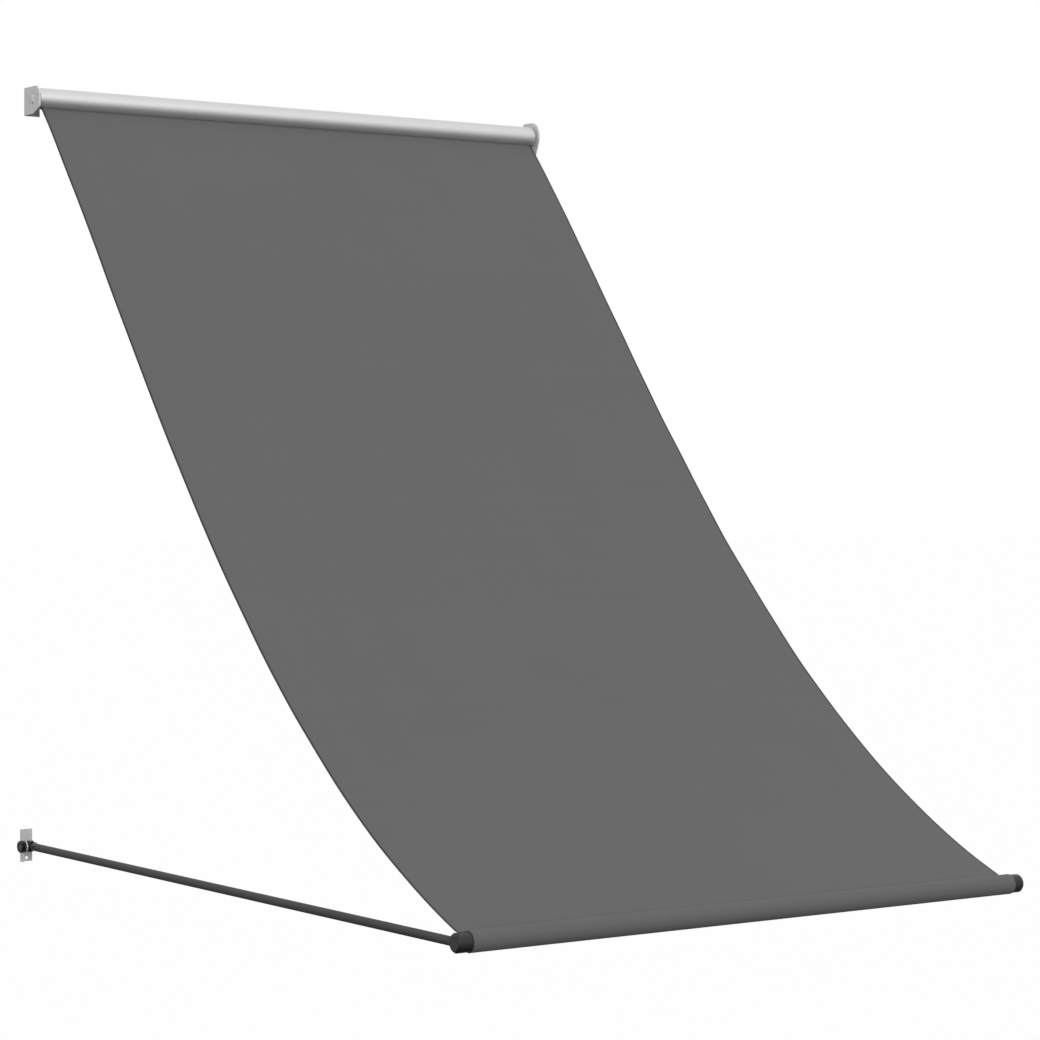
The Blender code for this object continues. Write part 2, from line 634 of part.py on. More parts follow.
def pivot_bolt(label, side):
    """A hexagon bolt from the inboard side, through the eye and the ear and into the knob."""
    x = side * ARM_SPACING / 2
    head_low = x - side * BOLT_HEAD_FACE
    head_high = head_low - side * BOLT_HEAD_HEIGHT
    corner = BOLT_HEAD_ACROSS / 2 / cos(pi / 6)
    hexagon = disc(PIVOT, corner, 6)
    head = prism(f"pivot_bolt_{label}", hexagon, "X", *sorted((head_low, head_high)), "zinc")
    ends = sorted((head_low - side * CUT, x + side * (KNOB_OUTER_FACE - KNOB_CAP)))
    shank = prism(f"pivot_shank_{label}", disc(PIVOT, BOLT_RADIUS, 20), "X", *ends)
    return boolean(head, shank, "UNION")


def clamp_knob(label, side):
    """A small faceted hand knob on the bolt's thread, with a shallow dish in its outer face."""
    x = side * ARM_SPACING / 2
    inner, outer = x + side * KNOB_INNER_FACE, x + side * KNOB_OUTER_FACE
    corners = [(*point, KNOB_FACET_RADIUS) for point in disc(PIVOT, KNOB_RADIUS, KNOB_FACETS)]
    edge = side * LEAD_IN
    sections = [(inner, 0.92), (inner + edge, 1.0), (outer - edge, 1.0), (outer, 0.90)]
    sections = sections if side > 0 else sections[::-1]
    knob = loft(f"clamp_knob_{label}", rounded(corners, 3), "X", sections, "black_plastic", PIVOT)
    dish = sorted((outer - side * KNOB_DISH_DEPTH, outer + side * CUT))
    drill(knob, "X", PIVOT, KNOB_DISH_RADIUS, *dish, 24)
    hole = sorted((inner - side * CUT, outer - side * (KNOB_CAP - GAP)))
    return drill(knob, "X", PIVOT, BOLT_HOLE_RADIUS, *hole)


def build():
    for obj in list(bpy.data.objects):
        bpy.data.objects.remove(obj, do_unlink=True)

    upper_bracket_left()
    upper_bracket_right()
    spindle()
    spring_collar()
    roller_spring()
    fabric()

    roller_axis = pivot_empty("roller_axis", (0, *ROLLER_AXIS))
    tube = roller_tube()
    bearing = end_plug("bearing_plug", -1, SPINDLE_RADIUS + GAP)
    idle = end_plug("idle_plug", 1, PIN_RADIUS + GAP)
    carry(roller_axis, tube, bearing, idle, spring_driver(), idle_pin(), keder_rod())

    arm_axis = pivot_empty("arm_axis", (0, *PIVOT))
    carry(arm_axis, front_bar())
    for label, side in SIDES:
        x = side * ARM_SPACING / 2
        lower_bracket(label, side)
        pivot_bolt(label, side)
        near, far, radius = FRICTION_WASHER
        washer(f"pivot_washer_{label}", (x + side * near, x + side * far), radius, "black_plastic")
        near, far, radius = HEAD_WASHER
        washer(f"head_washer_{label}", (x - side * near, x - side * far), radius, "zinc")
        carry(arm_axis, arm(label, side), arm_eye(label, side), elbow(label, side), elbow_screw(label, side))
        knob_axis = pivot_empty(f"knob_axis_{label}", (x + side * KNOB_INNER_FACE, *PIVOT))
        carry(knob_axis, clamp_knob(label, side))
    bpy.context.view_layer.update()


build()
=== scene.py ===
# %% [markdown]
# # A fabric awning on a sprung roller
# A sheet of dark cloth comes off an aluminium roller on two folded brackets. It sags down to a round bar,
# which two thin arms hold out from the wall. The hard parts come in ready made, as a fixed frame.
# Here they get their finishes, and the cloth, the one soft part, is made again as real cloth with thickness,
# slack folds, a sewn sleeve and its thread. The frame comes first because every place is measured on it.

# %% Load the frame and keep its size
import json
from math import acos, atan2, cos, hypot, pi, radians, sin

import bpy
import numpy as np
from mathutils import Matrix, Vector


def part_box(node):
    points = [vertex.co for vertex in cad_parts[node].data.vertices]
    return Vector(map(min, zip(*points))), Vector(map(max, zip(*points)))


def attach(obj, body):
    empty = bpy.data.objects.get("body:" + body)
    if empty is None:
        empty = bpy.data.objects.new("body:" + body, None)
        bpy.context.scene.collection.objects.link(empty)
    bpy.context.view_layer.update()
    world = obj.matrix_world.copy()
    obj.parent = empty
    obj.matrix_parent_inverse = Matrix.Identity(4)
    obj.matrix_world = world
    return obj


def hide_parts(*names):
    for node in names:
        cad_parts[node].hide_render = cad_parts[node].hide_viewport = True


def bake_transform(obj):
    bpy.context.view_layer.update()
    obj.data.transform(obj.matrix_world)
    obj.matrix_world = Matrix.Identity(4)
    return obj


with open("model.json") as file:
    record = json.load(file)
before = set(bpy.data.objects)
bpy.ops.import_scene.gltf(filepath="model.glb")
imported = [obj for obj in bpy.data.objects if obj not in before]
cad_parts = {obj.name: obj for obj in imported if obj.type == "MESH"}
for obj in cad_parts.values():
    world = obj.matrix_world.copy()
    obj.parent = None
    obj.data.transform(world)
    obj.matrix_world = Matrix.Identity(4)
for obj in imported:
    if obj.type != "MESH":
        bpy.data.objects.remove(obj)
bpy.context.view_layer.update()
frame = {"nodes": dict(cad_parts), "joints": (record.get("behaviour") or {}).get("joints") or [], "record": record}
nodes = frame["nodes"]
joint_at = {joint["name"]: Vector(joint["pos_m"]) for joint in frame["joints"]}
slot_of = {part["node"]: part["material_slot"] for part in frame["record"]["subparts"]}


def add_object(name, data):
    """A new object, put in the scene."""
    made = bpy.data.objects.new(name, data)
    bpy.context.scene.collection.objects.link(made)
    return made


# %% [markdown]
# ## Camera
# The camera stands low and to the left, about half way down the awning, and looks almost level. A long lens
# keeps the roller and the bar nearly parallel. It could be aimed with a constraint at an empty, but fixed
# angles give the same picture each time. The shift is very small and only centres the awning.

# %% Place the camera
CAMERA_AT = (-2.7574, -4.6375, -0.628)
TURNED_RIGHT = 0.6135
TIPPED_DOWN = 0.0124
SENSOR_WIDTH = 36.0
LENS = 104.86
SHIFT = (-0.00033, -0.00718)

camera = add_object("camera", bpy.data.cameras.new("camera"))
camera.location = CAMERA_AT
camera.rotation_euler = (pi / 2 - TIPPED_DOWN, 0.0, -TURNED_RIGHT)
camera.data.sensor_width = SENSOR_WIDTH
camera.data.lens = LENS
camera.data.shift_x, camera.data.shift_y = SHIFT
camera.data.clip_start, camera.data.clip_end = 0.1, 200.0
bpy.context.scene.camera = camera
bpy.context.scene.view_settings.view_transform = "Standard"
print("the camera is", round(camera.location.length, 2), "m from the roller")

# %% [markdown]
# ## Shader maths as plain expressions
# A finish is a small network of nodes. Wiring them by hand is slow to read, so a Wire stands for one socket,
# and adding or multiplying wires adds the node for it. Numbers use Math nodes and vectors use Vector Math.
# Colours are only mixed, by `blend`, because a Math node would turn them grey. Every other node comes from
# `node`, which makes its settings first, since they decide which sockets it has.

# %% The wire and the network


def find_socket(sockets, name):
    if isinstance(name, int):
        return sockets[name]
    return next(s for s in sockets if s.identifier == name)


class Wire:
    """One socket of a network, with the arithmetic that finishes need."""

    def __init__(self, network, socket):
        self.network, self.socket = network, socket

    def join(self, operation, first, second):
        kinds = {w.socket.type for w in (first, second) if isinstance(w, Wire)}
        kind = "ShaderNodeVectorMath" if "VECTOR" in kinds else "ShaderNodeMath"
        return self.network.node(kind, {"operation": operation}, {0: first, 1: second})

    def __add__(self, other):
        return self.join("ADD", self, other)

    def __radd__(self, other):
        return self.join("ADD", other, self)

    def __sub__(self, other):
        return self.join("SUBTRACT", self, other)

    def __rsub__(self, other):
        return self.join("SUBTRACT", other, self)

    def __mul__(self, other):
        return self.join("MULTIPLY", self, other)

    def __rmul__(self, other):
        return self.join("MULTIPLY", other, self)

    def maths(self, operation):
        """A sine, a square root or another operation on this one value."""
        return self.network.node("ShaderNodeMath", {"operation": operation}, {0: self})

    def eased(self, low, high):
        """0 below low, 1 above high and a smooth step between them."""
        values = {"Value": self, "From Min": low, "From Max": high, "To Min": 0.0, "To Max": 1.0}
        return self.network.node("ShaderNodeMapRange", {"interpolation_type": "SMOOTHSTEP"}, values)


class Network:
    """The nodes of one finish or of the studio."""

    def __init__(self, tree):
        self.tree = tree

    def node(self, kind, settings=None, values=None, out=0):
        made = self.tree.nodes.new(kind)
        for name, value in (settings or {}).items():
            setattr(made, name, value)
        for name, value in (values or {}).items():
            self.feed(find_socket(made.inputs, name), value)
        return Wire(self, find_socket(made.outputs, out))

    def feed(self, socket, value):
        if isinstance(value, Wire):
            self.tree.links.new(value.socket, socket)
        else:
            socket.default_value = value

    def blend(self, dark, light, amount):
        """A colour between two others, by an amount that varies."""
        values = {"Factor_Float": amount, "A_Color": dark, "B_Color": light}
        return self.node("ShaderNodeMix", {"data_type": "RGBA"}, values, "Result_Color")

    def place(self):
        return self.node("ShaderNodeTexCoord", out="Object")

    def parts(self, vector):
        """The x, y and z of a vector, as three wires."""
        split = self.node("ShaderNodeSeparateXYZ", values={0: vector})
        return [Wire(self, socket) for socket in split.socket.node.outputs]

    def cloud(self, where, scale, detail):
        values = {"Vector": where, "Scale": scale, "Detail": detail}
        return self.node("ShaderNodeTexNoise", values=values)

    def relief(self, height, depth, strength):
        values = {"Height": height, "Distance": depth, "Strength": strength}
        return self.node("ShaderNodeBump", values=values, out="Normal")


class Finish(Network):
    """A material with one Principled shader."""

    def __init__(self, name, **constants):
        self.material = bpy.data.materials.new(name)
        self.material.use_nodes = True
        super().__init__(self.material.node_tree)
        self.shader = self.tree.nodes["Principled BSDF"]
        self.wear({key.replace("_", " ").title(): value for key, value in constants.items()})

    def wear(self, values):
        for name, value in values.items():
            self.feed(self.shader.inputs[name], value)


print("a wire can be added, taken away and multiplied")

# %% [markdown]
# ## Galvanised sheet
# The four brackets are folded from zinc coated steel. The zinc freezes in crystals a few millimetres across,
# which show as faint flat patches, and it dulls in clouds. Crystals could be painted, but Voronoi cells have
# the same straight edges and need no picture. They vary the colour and the roughness by only a little.

# %% Galvanised finish
CRYSTALS = 260.0


def galvanised_finish():
    finish = Finish("galvanised_sheet", metallic=0.45)
    where = finish.place()
    cells = finish.node("ShaderNodeTexVoronoi", values={"Vector": where, "Scale": CRYSTALS}, out="Color")
    crystal = finish.node("ShaderNodeSeparateColor", values={0: cells})
    cloud = finish.cloud(where, 38.0, 4.0)
    grain = finish.cloud(where, 2200.0, 2.0)
    shade = 0.35 * crystal + 0.65 * cloud
    finish.wear({
        "Base Color": finish.blend((0.57, 0.57, 0.575, 1), (0.71, 0.71, 0.715, 1), shade),
        "Roughness": 0.44 + 0.10 * cloud + 0.05 * crystal,
        "Normal": finish.relief(grain + 0.4 * crystal, 0.00004, 0.5),
    })
    return finish.material


print("galvanised sheet has crystals about", round(1000 / CRYSTALS, 1), "mm across")

# %% [markdown]
# ## Drawn aluminium
# The roller is an extruded tube, pulled through a die along its length. The die leaves fine lines that run
# along the tube, so a cloud is stretched a few hundred times in that direction. The lines change the
# roughness and a very shallow relief, and that spreads the highlight round the tube.

# %% Aluminium finish


def aluminium_finish():
    finish = Finish("drawn_aluminium", metallic=1.0)
    where = finish.place()
    lines = finish.cloud(where * (5.0, 1500.0, 1500.0), 1.0, 3.0)
    handling = finish.cloud(where, 22.0, 3.0)
    finish.wear({
        "Base Color": finish.blend((0.70, 0.70, 0.705, 1), (0.79, 0.79, 0.795, 1), lines),
        "Roughness": 0.40 + 0.08 * lines + 0.05 * handling,
        "Normal": finish.relief(lines, 0.00002, 0.35),
    })
    return finish.material


print("the die lines run along the tube")

# %% [markdown]
# ## Powder coat, moulded plastic and plated steel
# The arms and the bar are coated with a dark powder that melts into a fine pebbled skin. The elbows, eyes and
# knobs are moulded in black plastic, and the roller's end plugs in light grey. Moulds are spark-eroded, so
# plastic has a finer and slightly shinier skin. One function makes every pebbled skin from its two shades,
# its grain and its depth. Bolts and pins are plated with zinc.

# %% Powder coat and plastic
COAT_PEBBLES, COAT_RELIEF = 1500.0, 0.00012
MOULD_PEBBLES, MOULD_RELIEF = 2600.0, 0.00006


def pebbled_finish(name, dark, light, pebbles, depth, roughness):
    finish = Finish(name)
    where = finish.place()
    skin = finish.cloud(where, pebbles, 3.0)
    cloud = finish.cloud(where, 30.0, 3.0)
    finish.wear({
        "Base Color": finish.blend((*dark, 1), (*light, 1), 0.6 * skin + 0.4 * cloud),
        "Roughness": roughness - 0.06 + 0.12 * cloud,
        "Normal": finish.relief(skin, depth, 0.6),
    })
    return finish


def coat_finish():
    return pebbled_finish(
        "anthracite_powder", (0.024, 0.0245, 0.026), (0.037, 0.0375, 0.039), COAT_PEBBLES, COAT_RELIEF, 0.52
    ).material


def plastic_finish():
    return pebbled_finish(
        "moulded_plastic", (0.009, 0.009, 0.0093), (0.017, 0.017, 0.0175), MOULD_PEBBLES, MOULD_RELIEF, 0.30
    ).material


def grey_plastic_finish():
    return pebbled_finish(
        "grey_moulded_plastic", (0.40, 0.40, 0.405), (0.50, 0.50, 0.505), MOULD_PEBBLES, MOULD_RELIEF, 0.48
    ).material


print("powder pebbles are about", round(1000 / COAT_PEBBLES, 1), "mm")

# %% Zinc and spring steel


def plated_finish():
    finish = Finish("zinc_plating", metallic=1.0)
    where = finish.place()
    cloud = finish.cloud(where, 120.0, 4.0)
    finish.wear({
        "Base Color": finish.blend((0.50, 0.51, 0.53, 1), (0.68, 0.68, 0.68, 1), cloud),
        "Roughness": 0.24 + 0.16 * cloud,
        "Normal": finish.relief(cloud, 0.00002, 0.4),
    })
    return finish.material


def spring_finish():
    finish = Finish("oiled_spring_steel", metallic=1.0)
    where = finish.place()
    streak = finish.cloud(where, 400.0, 3.0)
    finish.wear({
        "Base Color": finish.blend((0.12, 0.12, 0.125, 1), (0.26, 0.26, 0.265, 1), streak),
        "Roughness": 0.30 + 0.15 * streak,
        "Normal": finish.relief(streak, 0.00002, 0.4),
    })
    return finish.material


print("the plating is cloudy, and the spring is dark and oiled")

# %% [markdown]
# ## The knob's painted highlight and shade
# Each clamp knob is the same black plastic as the elbows, but it gets its own copy of that finish: darker, as
# painted shade on its rim, and paler over the dish in its outer face, as a painted highlight. The highlight is
# set by the distance from the knob's axis. The distance is the same all round, so it stays right as the knob
# turns.

# %% Knob finish
DISH_HIGHLIGHT_RADIUS = 0.0058
FADE_INSIDE, FADE_OUTSIDE = 0.0004, 0.0002


def knob_painted_light_finish():
    # Darker than the other black plastic, as painted shade on the knob's rim.
    finish = pebbled_finish(
        "knob_plastic_painted_light", (0.004, 0.004, 0.0042), (0.009, 0.009, 0.0092), MOULD_PEBBLES, MOULD_RELIEF, 0.36
    )
    pivot = joint_at["arm_swing"]
    _, y, z = finish.parts(finish.place())
    out, up = y - pivot.y, z - pivot.z
    distance = (out * out + up * up).maths("SQRT")
    # Painted highlight: a paler disc in the middle of the knob's outer face.
    painted_highlight = 1.0 - distance.eased(DISH_HIGHLIGHT_RADIUS - FADE_INSIDE, DISH_HIGHLIGHT_RADIUS + FADE_OUTSIDE)
    plain = Wire(finish, finish.shader.inputs["Base Color"].links[0].from_socket)
    finish.wear({"Base Color": finish.blend(plain, (0.085, 0.086, 0.088, 1), painted_highlight)})
    return finish.material


print("the dish is", round(2000 * DISH_HIGHLIGHT_RADIUS, 1), "mm across")

# %% [markdown]
# ## Put the finishes on the hard parts
# Every part already names the material slot it takes. One finish is made for each slot and given to all of
# its parts, but the clamp knobs get their own copy of the black plastic, with painted shade and a painted
# highlight. Metal edges are never knife sharp, so the brackets, screws and bolts get a narrow bevel. Their
# corners are joined first with a weld, because an imported mesh is split along its sharp edges.

# %% Give out the finishes
FINISH_OF = {
    "galvanised_steel": galvanised_finish(),
    "aluminium": aluminium_finish(),
    "anthracite_coat": coat_finish(),
    "black_plastic": plastic_finish(),
    "grey_plastic": grey_plastic_finish(),
    "zinc_plated": plated_finish(),
    "spring_steel": spring_finish(),
}
knob_plastic_painted_light = knob_painted_light_finish()

for name, node in nodes.items():
    if slot_of[name] in FINISH_OF:
        for holder in node.material_slots:
            # The clamp knobs get their own copy of the black plastic, with painted shade and a painted highlight.
            holder.material = knob_plastic_painted_light if name.startswith("clamp_knob") else FINISH_OF[slot_of[name]]
print("finished", sum(slot_of[name] in FINISH_OF for name in nodes), "hard parts")

# %% Break the sharp edges
EDGE_BREAK = {"upper_bracket": 0.00035, "lower_bracket": 0.00030, "elbow_screw": 0.0002, "pivot_bolt": 0.0003}
BREAK_ABOVE = radians(40)
SAME_POINT = 0.000002


def break_edges(node, width):
    weld = node.modifiers.new("join_corners", "WELD")
    weld.merge_threshold = SAME_POINT
    bevel = node.modifiers.new("broken_edge", "BEVEL")
    bevel.width = width
    bevel.segments = 2
    bevel.limit_method = "ANGLE"
    bevel.angle_limit = BREAK_ABOVE


for name, node in nodes.items():
    for start, width in EDGE_BREAK.items():
        if name.startswith(start):
            break_edges(node, width)
print("edges broken on", sum(bool(node.modifiers) for node in nodes.values()), "parts")

# %% [markdown]
# ## The line that the cloth follows
# Seen from the side the cloth is one line. It comes out of a groove in the roller, sags to the seam just
# behind the bar, goes once round the bar to make a sleeve, and ends in a short allowance under the sheet.
# A cloth simulation could hang it, but the sag is known, and a curve with two handles gives it exactly.
# The places of the roller and the bar are read from the frame.

# %% Measure the roller, the bar and the sheet
CLOTH = 0.0008
RUNNING_GAP = 0.0003
GROOVE_ANGLE = radians(-24.5)
GROOVE_BOTTOM = 0.0166
ROLLER_RADIUS = 0.018
SEAM_BEHIND_BAR, SEAM_ABOVE_BAR = 0.0192, 0.0087
LEAVE_ANGLE, LEAVE_STRENGTH = radians(49), 0.463
ARRIVE_ANGLE, ARRIVE_STRENGTH = radians(21.4), 0.609
HEM_CUT_BACK = 0.0035
ALLOWANCE = 0.012
LAYER_GAP = 0.0001
RIGID_BEFORE_SEAM = 0.025


def side_view(vector):
    """The (y, z) of a point in space."""
    return Vector((vector.y, vector.z))


bar_low, bar_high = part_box("front_bar")
cloth_low, cloth_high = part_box("fabric")
roller = side_view(joint_at["roller_turn"])
bar = side_view((bar_low + bar_high) / 2)
bar_radius = (bar_high.z - bar_low.z) / 2
middle_x = (cloth_low.x + cloth_high.x) / 2
half_width = (cloth_high.x - cloth_low.x) / 2
print("sheet", round(2 * half_width, 4), "m wide, bar radius", round(bar_radius, 4))

# %% Draw the line
out_of_groove = Vector((cos(GROOVE_ANGLE - pi / 2), sin(GROOVE_ANGLE - pi / 2)))
lip = roller + out_of_groove * (ROLLER_RADIUS + RUNNING_GAP + CLOTH / 2)
seam = bar + Vector((SEAM_BEHIND_BAR, SEAM_ABOVE_BAR))
up_the_sheet = Vector((cos(ARRIVE_ANGLE), sin(ARRIVE_ANGLE)))
SHEET_ROWS = 230
CORNER_STEPS, LOOP_STEPS = 5, 36
LIP_CORNER, SEAM_CORNER, HEM_CORNER = 0.0006, 0.0026, 0.0018
HEM_SHARES = (0.35, 0.6, 0.8, 0.95, 1.0)


def rounded_corner(before, corner, after, size):
    """Points that turn a corner on a short smooth curve."""
    first = corner + (before - corner).normalized() * size
    last = corner + (after - corner).normalized() * size
    spots = [i / CORNER_STEPS for i in range(CORNER_STEPS + 1)]
    return [(1 - t) ** 2 * first + 2 * t * (1 - t) * corner + t * t * last for t in spots]


def sag(t):
    """The hanging part: a curve with one handle at the roller and one at the bar."""
    near_roller = lip - LEAVE_STRENGTH * Vector((cos(LEAVE_ANGLE), sin(LEAVE_ANGLE)))
    near_bar = seam + ARRIVE_STRENGTH * up_the_sheet
    s = 1 - t
    return s**3 * lip + 3 * s * s * t * near_roller + 3 * s * t * t * near_bar + t**3 * seam


def cloth_line():
    start = roller + out_of_groove * GROOVE_BOTTOM
    hanging = [sag(i / SHEET_ROWS) for i in range(1, SHEET_ROWS)]
    radius = bar_radius + RUNNING_GAP + CLOTH / 2
    towards = atan2(SEAM_ABOVE_BAR, SEAM_BEHIND_BAR)
    half = acos(radius / hypot(SEAM_ABOVE_BAR, SEAM_BEHIND_BAR))
    turns = [towards + half + (2 * pi - 2 * half) * i / LOOP_STEPS for i in range(LOOP_STEPS + 1)]
    loop = [bar + radius * Vector((cos(a), sin(a))) for a in turns]
    under = seam - (CLOTH + LAYER_GAP) * Vector((-up_the_sheet.y, up_the_sheet.x))
    end = under + ALLOWANCE * up_the_sheet
    line = [start, *rounded_corner(start, lip, hanging[0], LIP_CORNER), *hanging]
    line += rounded_corner(hanging[-1], seam, loop[0], SEAM_CORNER)
    line += loop
    line += rounded_corner(loop[-1], under, end, HEM_CORNER)
    return line + [under + up_the_sheet * ALLOWANCE * share for share in HEM_SHARES]


line = cloth_line()
travel = np.cumsum([0.0] + [(b - a).length for a, b in zip(line, line[1:])])
seam_travel = float(travel[min(range(len(line)), key=lambda i: (line[i] - seam).length)])

# %% [markdown]
# ## Slack folds
# A sheet held by a roller and a bar is never quite flat. It pulls a little harder at its corners, and very
# shallow folds run across it at a slant. They could be simulated, but the highest stands only about a
# millimetre, and a few crossing waves with uneven strengths describe them well. They die away where the
# cloth is gripped, at the roller and at the seam. Each wave has a slant in degrees, a length and a height in
# metres, and a shift along its run.

# %% The folds
GRIP_REACH = 0.05
FOLDS = (
    (28, 0.150, 0.00034, 0.4),
    (-33, 0.190, 0.00030, 2.1),
    (41, 0.085, 0.00012, 1.2),
    (-52, 0.110, 0.00014, 4.0),
    (74, 0.260, 0.00040, 5.2),
)


def folds(across, along):
    """How far the cloth stands off its line, in metres, for grids of places on the flat cloth."""
    height = np.zeros_like(across)
    for slant, length, size, shift in FOLDS:
        run = across * cos(radians(slant)) + along * sin(radians(slant))
        strength = 0.6 + 0.4 * np.sin(2 * pi * across / (4.3 * length) + 3 * shift + along / 0.4)
        height += size * strength * np.sin(2 * pi * run / length + shift)
    before_seam = seam_travel - RIGID_BEFORE_SEAM - along
    gripped = np.clip(along / GRIP_REACH, 0, 1) * np.clip(before_seam / GRIP_REACH, 0, 1)
    return height * gripped * gripped * (3 - 2 * gripped)


sample = folds(*np.meshgrid(np.linspace(-half_width, half_width, 80), np.linspace(0, seam_travel, 120)))
print("the folds stand up to", round(1000 * float(np.abs(sample).max()), 2), "mm off the line")

# %% [markdown]
# ## The sheet
# The line becomes a grid: one row of points for each place on the line and one column for each place across.
# A face on each side of the line gives the cloth its thickness, and walls close the cut edges. A modifier
# could thicken a single skin, but here the edge also swells a little, as a heat-sealed edge does.
# Each point keeps its place on the flat cloth as a texture coordinate, so the weave follows the cloth.

# %% Columns, rows and thickness
EDGE_STEPS = (0.0, 0.0006, 0.0013, 0.0021, 0.0030, 0.0045)
PLAIN_COLUMNS = 100
# Width of the heat-sealed side edge, which also swells, and of the band painted darker there as painted shade.
SEALED_SHADED_EDGE = 0.0030
EDGE_SWELL = 0.00012
HEM_STEP = 0.004
CREASE = radians(50)


def columns():
    """Places across the cloth from -1 to 1, closer together at the two edges."""
    inner = half_width - EDGE_STEPS[-1]
    plain = np.linspace(-inner, inner, PLAIN_COLUMNS)[1:-1]
    left = [-half_width + step for step in EDGE_STEPS]
    return np.array([*left, *plain, *[-x for x in reversed(left)]]) / half_width


def thickness(across):
    """Half of the cloth's thickness, a little more at the side edges, which swell from heat sealing."""
    inside = half_width - np.abs(across)
    swell = np.where(inside < SEALED_SHADED_EDGE, np.sin(pi * np.clip(inside / SEALED_SHADED_EDGE, 0, 1)), 0.0)
    return CLOTH / 2 + EDGE_SWELL * swell


def row_half_width(place):
    """The sleeve round the bar is cut back a few millimetres at each end."""
    share = np.clip((place - seam_travel + HEM_STEP) / HEM_STEP, 0, 1)
    return half_width - HEM_CUT_BACK * share * share * (3 - 2 * share)


shares = columns()
print(len(line), "rows and", len(shares), "columns")

# %% Make the sheet


def line_normals():
    """The direction square to the line at each point, pointing to the cloth's upper face."""
    points = np.array([tuple(p) for p in line])
    along = np.gradient(points, axis=0)
    along /= np.linalg.norm(along, axis=1)[:, None]
    return points, np.stack([along[:, 1], -along[:, 0]], axis=1)


def sheet_grid(face):
    """Points of one face of the cloth: 1 is the upper face and -1 the lower one."""
    points, normals = line_normals()
    widths = row_half_width(travel)
    across = widths[:, None] * shares[None, :]
    along = np.repeat(travel[:, None], len(shares), axis=1)
    off = folds(across, along) + face * thickness(across * half_width / widths[:, None])
    y = points[:, :1] + normals[:, :1] * off
    z = points[:, 1:] + normals[:, 1:] * off
    return np.stack([middle_x + across, y, z], axis=-1), across, along


def make_sheet():
    upper, across, along = sheet_grid(1)
    lower = sheet_grid(-1)[0]
    rows, count = across.shape
    half = rows * count

    def at(row, column, face):
        return row * count + column + (half if face else 0)

    faces = []
    for r in range(rows - 1):
        for c in range(count - 1):
            corners = [(r, c), (r, c + 1), (r + 1, c + 1), (r + 1, c)]
            faces.append([at(*corner, 0) for corner in corners])
            faces.append([at(*corner, 1) for corner in reversed(corners)])
    rim = [(0, c) for c in range(count)] + [(r, count - 1) for r in range(1, rows)]
    rim += [(rows - 1, c) for c in range(count - 2, -1, -1)] + [(r, 0) for r in range(rows - 2, 0, -1)]
    for here, there in zip(rim, rim[1:] + rim[:1]):
        faces.append([at(*there, 0), at(*here, 0), at(*here, 1), at(*there, 1)])
    mesh = bpy.data.meshes.new("awning_sheet")
    mesh.from_pydata(np.concatenate([upper.reshape(-1, 3), lower.reshape(-1, 3)]).tolist(), [], faces)
    flat = np.stack([across.ravel(), along.ravel()], axis=1)
    corners = np.array([loop.vertex_index for loop in mesh.loops]) % half
    mesh.uv_layers.new(name="flat_cloth").data.foreach_set("uv", flat[corners].astype(np.float32).ravel())
    mesh.shade_smooth()
    mesh.set_sharp_from_angle(angle=CREASE)
    return add_object("awning_sheet", mesh)


awning_sheet = make_sheet()
print("the sheet has", len(awning_sheet.data.polygons), "faces")

# %% [markdown]
# ## Woven cloth
# The cloth is a plain weave of dark grey yarn, where each yarn goes over one and under the next. Two sine
# waves multiplied together make that chequered relief. Yarns are never dyed quite alike, so each has its
# own small change of shade, from a noise that reads only the yarn's number. The heat-sealed side edges are
# smoother than the rest, and a band along them is painted darker, as painted shade. All of it is laid out
# on the flat cloth, in metres.

# %% Cloth finish
YARN = 0.00055
# How the painted shade along the side edges fades in and out.
SEALED_SHADE_INSIDE, SEALED_SHADE_OUTSIDE = 0.0004, 0.0006


def cloth_finish():
    finish = Finish("woven_cloth", sheen_roughness=0.5, sheen_weight=0.06)
    flat = finish.node("ShaderNodeUVMap", {"uv_map": "flat_cloth"})
    across, along, _ = finish.parts(flat)
    warp, weft = across * (1 / YARN), along * (1 / YARN)
    weave = (warp * pi).maths("SINE") * (weft * pi).maths("SINE")

    def dyed(yarn):
        return finish.node("ShaderNodeTexWhiteNoise", {"noise_dimensions": "1D"}, {"W": yarn.maths("FLOOR")})

    yarns = 0.5 * dyed(warp) + 0.5 * dyed(weft)
    weathered = finish.cloud(flat, 3.5, 4.0)
    shade = 0.45 * yarns + 0.25 * weathered + 0.15 * weave + 0.15
    cloth = finish.blend((0.085, 0.085, 0.085, 1), (0.109, 0.109, 0.109, 1), shade)
    inside = half_width - across.maths("ABSOLUTE")
    # Painted shade: the side edges are darkened over this band, which is also made smoother.
    sealed_painted_shade = 1.0 - inside.eased(SEALED_SHADED_EDGE - SEALED_SHADE_INSIDE, SEALED_SHADED_EDGE + SEALED_SHADE_OUTSIDE)
    finish.wear({
        "Base Color": finish.blend(cloth, (0.018, 0.018, 0.0185, 1), sealed_painted_shade),
        "Roughness": 0.90 - 0.20 * sealed_painted_shade - 0.05 * weave,
        "Normal": finish.relief(weave * (1.0 - sealed_painted_shade), 0.00010, 0.6),
    })
    return finish.material


awning_sheet.data.materials.append(cloth_finish())
print("there are", round(0.01 / YARN), "yarns to a centimetre")

# %% [markdown]
# ## Thread
# Two rows of machine stitching close the sleeve, right behind the bar. Each stitch is a short arched piece of
# thread that dips into the cloth at both ends. A bump could suggest it, but a seam is looked at closely, so
# every stitch is made, on the upper face and again on the lower one.

